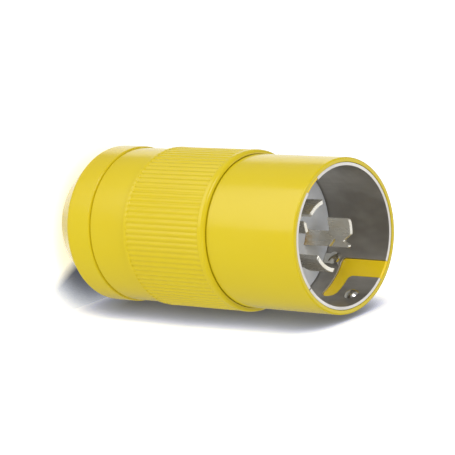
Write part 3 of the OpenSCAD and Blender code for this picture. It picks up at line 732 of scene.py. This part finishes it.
class PLUG_OT_rear_cap(bpy.types.Operator):
    """Turns the yellow cap with its cone and cord hole"""
    bl_idname = "plug.rear_cap"
    bl_label = "Rear cap"

    def execute(self, context):
        sizes = context.scene.plug_mouldings
        nose = Vector((sizes.cap_face / 2, sizes.nose_round))
        shoulder = Vector((CAP_R - sizes.shoulder_round, sizes.shoulder_z))
        run = shoulder - nose
        normal = math.degrees(math.atan2(run.y, run.x)
                              - math.acos((sizes.nose_round - sizes.shoulder_round) / run.length))
        hole = sizes.cord_hole / 2
        bore = CAP_R - sizes.cap_wall
        # inside: the threaded bore over a cone that ends at the lip round the cord hole
        floor_z, floor_r = 13 * MM, 25.6 * MM
        lip_z, lip_r, lip_edge = 4 * MM, 19.2 * MM, 0.8 * MM
        # rebate for the sealing ring
        rebate_r, rebate_z = bore + 1.9 * MM, CAP_TOP_Z - 1.4 * MM
        outline = [(hole + lip_edge, 0)]
        outline += arc(nose, sizes.nose_round, -90, normal, 10)
        outline += arc(shoulder, sizes.shoulder_round, normal, 0, 8)
        outline += rounded([
            (bore, floor_z, 0), (CAP_R, sizes.shoulder_z + SOFT, 0), (CAP_R, CAP_TOP_Z, sizes.edge_break),
            (rebate_r, CAP_TOP_Z, FINE), (rebate_r, rebate_z, 0), (bore, rebate_z, 0), (bore, floor_z, 0),
            (floor_r, floor_z, 0), (lip_r, lip_z, 0), (hole, lip_z, SOFT), (hole, lip_edge, FINE)], 4)[1:]
        cap = turned("rear_cap_moulding", outline, even_turns(sizes.segments))
        dress(cap, outside_yellow(context.scene.plug_colours))
        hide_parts("rear_cap")
        return {"FINISHED"}


class PLUG_OT_steel_shroud(bpy.types.Operator):
    """Rolls the steel shroud from a blank with its two locking slots and its holes"""
    bl_idname = "plug.steel_shroud"
    bl_label = "Steel shroud"

    def execute(self, context):
        sizes = context.scene.plug_shroud
        inner = SHROUD_R - sizes.wall
        gap = sizes.seam_gap / 2
        start, end = sizes.seam_angle * inner + gap, (sizes.seam_angle + 2 * math.pi) * inner - gap
        outline = [(start, SHROUD_FOOT_Z), (start, SHROUD_TOP_Z)]
        for slot in sorted((sizes.slot_a, sizes.slot_b)):
            outline += slot_outline(sizes, slot, SHROUD_TOP_Z)
        outline += [(end, SHROUD_TOP_Z), (end, SHROUD_FOOT_Z)]
        places = [(sizes.screw_angle, FLOOR_Z + sizes.screw_rise, sizes.screw_hole)]
        for slot in (sizes.slot_a, sizes.slot_b):
            places.append((slot + sizes.rivet_turn, RIM_Z - sizes.rivet_depth, sizes.rivet_hole))
        holes = [arc((turn * inner, height), radius, 0, 345, 23) for turn, height, radius in places]
        shroud = rolled("rolled_steel_shroud", [outline] + holes, sizes.wall, sizes.edge,
                        SHROUD_R - sizes.wall / 2, SHROUD_SLICE, round_shroud)
        dress(shroud, rolled_steel("rolled steel", context.scene.plug_colours))
        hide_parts("steel_shroud")
        return {"FINISHED"}


class PLUG_OT_blades(bpy.types.Operator):
    """Presses and curves the three hooked blades"""
    bl_idname = "plug.blades"
    bl_label = "Hooked blades"

    def execute(self, context):
        sizes, colours = context.scene.plug_blades, context.scene.plug_colours
        plate = plating("blade plating", colours, (0.24, 0.31), 0.8, (2, (300, 300, 60), 0.03), 0.65)
        # painted reflection of the yellow moulding, in patches at the blades' roots
        add_reflected_patches(plate, colours, sizes.reflection_band)
        # blade X, with a flared notch beside its hook and a slanted nick in its long edge
        outline, tip = self.hooked(sizes, "blade_x", sizes.width)
        edge = sizes.width / 2
        x, half = sizes.notch_place, 0.3 * MM
        low, nick = tip - sizes.notch_depth, tip - sizes.nick_depth
        outline += [(x + 2.66 * MM, tip, SOFT), (x + half, low, FINE), (x - half, low, FINE),
                    (x - 1.6 * MM, tip, SOFT), (-edge, tip, 0.4 * MM),
                    (-edge, nick + 0.56 * MM, FINE), (x + half, nick + 1.9 * MM, FINE),
                    (x + 0.5 * MM, nick + 1.1 * MM, FINE), (-edge, nick - 0.64 * MM, FINE)]
        self.press(sizes, plate, "blade_x_plate", "blade_x", sizes.angle_x, outline)
        outline, tip = self.hooked(sizes, "blade_y", sizes.width)
        outline.append((-edge, tip, sizes.corner))
        self.press(sizes, plate, "blade_y_plate", "blade_y", sizes.angle_y, outline)
        # neutral blade, with a strip at its side and a lip bent towards the axis
        outline, tip = self.hooked(sizes, "blade_neutral", sizes.width_neutral)
        edge = sizes.width_neutral / 2
        neck = sizes.neck - edge
        bend = sizes.lip_turn * sizes.circle / 2
        end = bend + sizes.lip_width
        strip_low, lip_top = FLOOR_Z + sizes.strip_rise, tip - sizes.lip_step
        strip_top = lip_top - sizes.strip_step
        outline[2:] = [
            (neck, strip_low, 0.4 * MM), (end, strip_low, 0.6 * MM), (end, lip_top, 0.5 * MM),
            (bend, lip_top, 0.5 * MM), (bend, strip_top, 0.4 * MM), (edge, strip_top, 0.4 * MM),
            (edge, tip, sizes.corner), (-edge, tip, sizes.corner)]
        self.press(sizes, plate, "blade_neutral_plate", "blade_neutral", sizes.angle_neutral, outline, bend)
        return {"FINISHED"}

    def hooked(self, sizes, node, width):
        """A blade's outline from its tail to the hook's tip, and the tip's height."""
        tip = ends_of(node)[1]
        edge = width / 2
        neck, hook_z = sizes.neck - edge, tip - sizes.hook
        return [(-edge, BLADE_TAIL_Z, sizes.corner), (neck, BLADE_TAIL_Z, sizes.corner), (neck, hook_z, 0.5 * MM),
                (edge, hook_z, sizes.corner), (edge, tip, sizes.corner)], tip

    def press(self, sizes, plate, name, node, turn, outline, bend=None):
        """Curves a blank round the axis; beyond bend it runs straight, turned towards the axis."""
        middle = sizes.circle / 2
        curl = sizes.curl

        def place(x, radius):
            if bend is None:
                across, out = x, math.sqrt(radius * radius - x * x)
            elif x <= bend:
                across, out = radius * math.sin(x / middle), radius * math.cos(x / middle)
            else:
                # round a small curl, and on along its end
                lie = bend / middle
                part = min((x - bend) / curl, sizes.lip_bend)
                rest = x - bend - part * curl
                over = radius - middle
                centre = (middle - curl) * math.sin(lie), (middle - curl) * math.cos(lie)
                way = lie + part
                across = centre[0] + (curl + over) * math.sin(way) + rest * math.cos(way)
                out = centre[1] + (curl + over) * math.cos(way) - rest * math.sin(way)
            return (out * math.cos(turn) - across * math.sin(turn), out * math.sin(turn) + across * math.cos(turn))

        blade = rolled(name, [rounded(outline)], sizes.thickness, sizes.edge, middle, 0.5 * MM, place)
        dress(blade, plate.material)
        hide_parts(node)


class PLUG_OT_carried_over(bpy.types.Operator):
    """Gives the frame's other nodes their finishes"""
    bl_idname = "plug.carried_over"
    bl_label = "Insulators, terminals and fasteners"

    def execute(self, context):
        colours = context.scene.plug_colours
        bright = plating("bright plating", colours, (0.12, 0.24), 0.25, (4, (900, 900, 900), 0.1), 1.0).material
        brass = warm_metal("machined brass", colours.brass, colours.brass_dull)
        face = matt_plastic("front insulator", colours.face, 0.42, 0.6, 0.04)
        block = matt_plastic("terminal block", colours.block)
        nylon = matt_plastic("jaw nylon", colours.nylon, 0.45, 0.62, 0.05)
        rubber = soft_rubber("black rubber", colours.rubber)
        finishes = {
            "shroud_rivets": bright, "shroud_screw": bright, "centre_screw": bright, "terminal_screws": bright,
            "assembly_screws": bright, "jaw_screws": bright, "jaw_nuts": bright, "thrust_washer": bright,
            "terminal_lugs": brass, "ground_strap": bright, "insulator_face": face, "terminal_block": block,
            "screw_side_jaw": nylon, "nut_side_jaw": nylon,
            "body_gasket": rubber, "cap_gasket": rubber, "cord_seal": rubber}
        for node, material in finishes.items():
            dress(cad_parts[node], material)
        return {"FINISHED"}


# ---- stage ----

class PLUG_OT_stage(bpy.types.Operator):
    """Sets the floor, the table, the lamps, the world and the camera"""
    bl_idname = "plug.stage"
    bl_label = "Stage"

    def execute(self, context):
        stage = context.scene.plug_stage
        self.camera(context, stage)
        self.world(context, stage)
        # lamps that light the surfaces; only the first is seen in their gloss
        self.lamp("key_lamp", turn=-58, rise=37, width=0.55, height=0.55, power=stage.key, gloss=True)
        self.lamp("fill_lamp", turn=35, rise=37, width=0.8, height=0.8, power=stage.fill)
        self.lamp("top_lamp", turn=-30, rise=63, width=0.5, height=0.5, power=stage.top)
        # cards that are seen in the gloss of the round sides, of the end faces and of the upper edges
        self.card("side_card", turn=-36, rise=-27, width=0.98, height=0.6, brightness=stage.card)
        self.card("end_card", turn=-178, rise=42, width=0.8, height=0.6, brightness=stage.end_card)
        self.card("back_card", turn=205, rise=-42, width=0.8, height=1.0, brightness=stage.back_card)
        self.sheet(stage, "floor", FLOOR_SIZE, Matrix.Identity(4))
        # the table that the plug lies on in the main view touches the grip along its length
        turn = Matrix.Rotation(stage.table_turn + math.pi / 2, 4, "Z")
        shift = Matrix.Translation((0, GRIP_R + stage.table_gap, TABLE_MIDDLE_Z))
        table = self.sheet(stage, "table", TABLE_SIZE, turn @ shift @ Matrix.Rotation(math.pi / 2, 4, "X"))
        table.visible_diffuse = False
        table.visible_transmission = False
        context.scene.view_settings.view_transform = "Standard"
        return {"FINISHED"}

    def camera(self, context, stage):
        """The camera of the main view."""
        camera = bpy.data.cameras.new("camera")
        camera.lens = stage.lens
        camera.sensor_width = 36
        camera.clip_start, camera.clip_end = 0.05, 20
        holder = bpy.data.objects.new("camera", camera)
        context.scene.collection.objects.link(holder)
        back = -Vector(stage.look).normalized()
        up = Vector(stage.up).normalized()
        turn = Matrix((up.cross(back), up, back)).transposed().to_4x4()
        holder.matrix_world = Matrix.Translation(stage.camera) @ turn
        context.scene.camera = holder

    def world(self, context, stage):
        """Soft light all round, dimmer in gloss and plain white in view."""
        world = bpy.data.worlds.new("studio")
        context.scene.world = world
        world.use_nodes = True
        nodes, links = world.node_tree.nodes, world.node_tree.links
        path = nodes.new("ShaderNodeLightPath")
        plain = nodes["Background"]
        plain.inputs["Color"].default_value = (1, 1, 1, 1)
        plain.inputs["Strength"].default_value = stage.world
        last = plain
        for ray, strength in (("Is Glossy Ray", stage.gloss), ("Is Camera Ray", 1)):
            other = nodes.new("ShaderNodeBackground")
            other.inputs["Color"].default_value = (1, 1, 1, 1)
            other.inputs["Strength"].default_value = strength
            mix = nodes.new("ShaderNodeMixShader")
            links.new(path.outputs[ray], mix.inputs["Fac"])
            links.new(last.outputs[0], mix.inputs[1])
            links.new(other.outputs["Background"], mix.inputs[2])
            last = mix
        links.new(last.outputs[0], nodes["World Output"].inputs["Surface"])

    def lamp(self, name, turn, rise, width, height, power, distance=LAMP_DISTANCE, diffuse=True, gloss=False):
        """An area lamp in a direction given in degrees round the axis and up from the floor."""
        light = bpy.data.lights.new(name, "AREA")
        light.shape = "RECTANGLE"
        light.size, light.size_y = width, height
        light.energy = power
        holder = bpy.data.objects.new(name, light)
        bpy.context.scene.collection.objects.link(holder)
        turn, rise = math.radians(turn), math.radians(rise)
        way = Vector((math.cos(turn) * math.cos(rise), math.sin(turn) * math.cos(rise), math.sin(rise)))
        holder.location = Vector((0, 0, RIM_Z / 2)) + way * distance
        holder.rotation_mode = "QUATERNION"
        holder.rotation_quaternion = (-way).to_track_quat("-Z", "Y")
        holder.visible_diffuse = diffuse
        holder.visible_glossy = gloss
        holder.visible_camera = False

    def card(self, name, turn, rise, width, height, brightness):
        """A bright card that is seen in gloss and lights nothing."""
        power = brightness * math.pi * width * height
        self.lamp(name, turn, rise, width, height, power, CARD_DISTANCE, diffuse=False, gloss=True)

    def sheet(self, stage, name, size, place):
        """A flat sheet of the stage, not seen in gloss and without a shadow of its own."""
        shape = bmesh.new()
        bmesh.ops.create_grid(shape, x_segments=2, y_segments=2, size=size / 2)
        mesh = bpy.data.meshes.new(name)
        shape.to_mesh(mesh)
        shape.free()
        holder = bpy.data.objects.new(name, mesh)
        holder.matrix_world = place
        holder.visible_glossy = False
        holder.visible_shadow = False
        bpy.context.scene.collection.objects.link(holder)
        mesh.materials.append(pale_sheet(name, stage, name == "table"))
        return holder


# ---- panel and registration ----

OPERATORS = (PLUG_OT_front_sleeve, PLUG_OT_ribbed_body, PLUG_OT_rear_cap, PLUG_OT_steel_shroud,
             PLUG_OT_blades, PLUG_OT_carried_over, PLUG_OT_stage)
SETTINGS = {"plug_mouldings": PlugMouldings, "plug_shroud": PlugShroud, "plug_blades": PlugBlades,
            "plug_colours": PlugColours, "plug_stage": PlugStage}


class PLUG_PT_pieces(bpy.types.Panel):
    """Lists the pieces of the plug"""
    bl_idname = "PLUG_PT_pieces"
    bl_label = "Locking plug"
    bl_space_type = "VIEW_3D"
    bl_region_type = "UI"
    bl_category = "Plug"

    def draw(self, context):
        for operator in OPERATORS:
            self.layout.operator(operator.bl_idname)


def register():
    for kind in (*SETTINGS.values(), *OPERATORS, PLUG_PT_pieces):
        bpy.utils.register_class(kind)
    for name, kind in SETTINGS.items():
        setattr(bpy.types.Scene, name, bpy.props.PointerProperty(type=kind))


def unregister():
    for name in SETTINGS:
        delattr(bpy.types.Scene, name)
    for kind in (PLUG_PT_pieces, *reversed(OPERATORS), *reversed(SETTINGS.values())):
        bpy.utils.unregister_class(kind)


def main():
    register()
    for operator in OPERATORS:
        group, call = operator.bl_idname.split(".")
        getattr(getattr(bpy.ops, group), call)()
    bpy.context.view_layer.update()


if __name__ == "__main__":
    main()
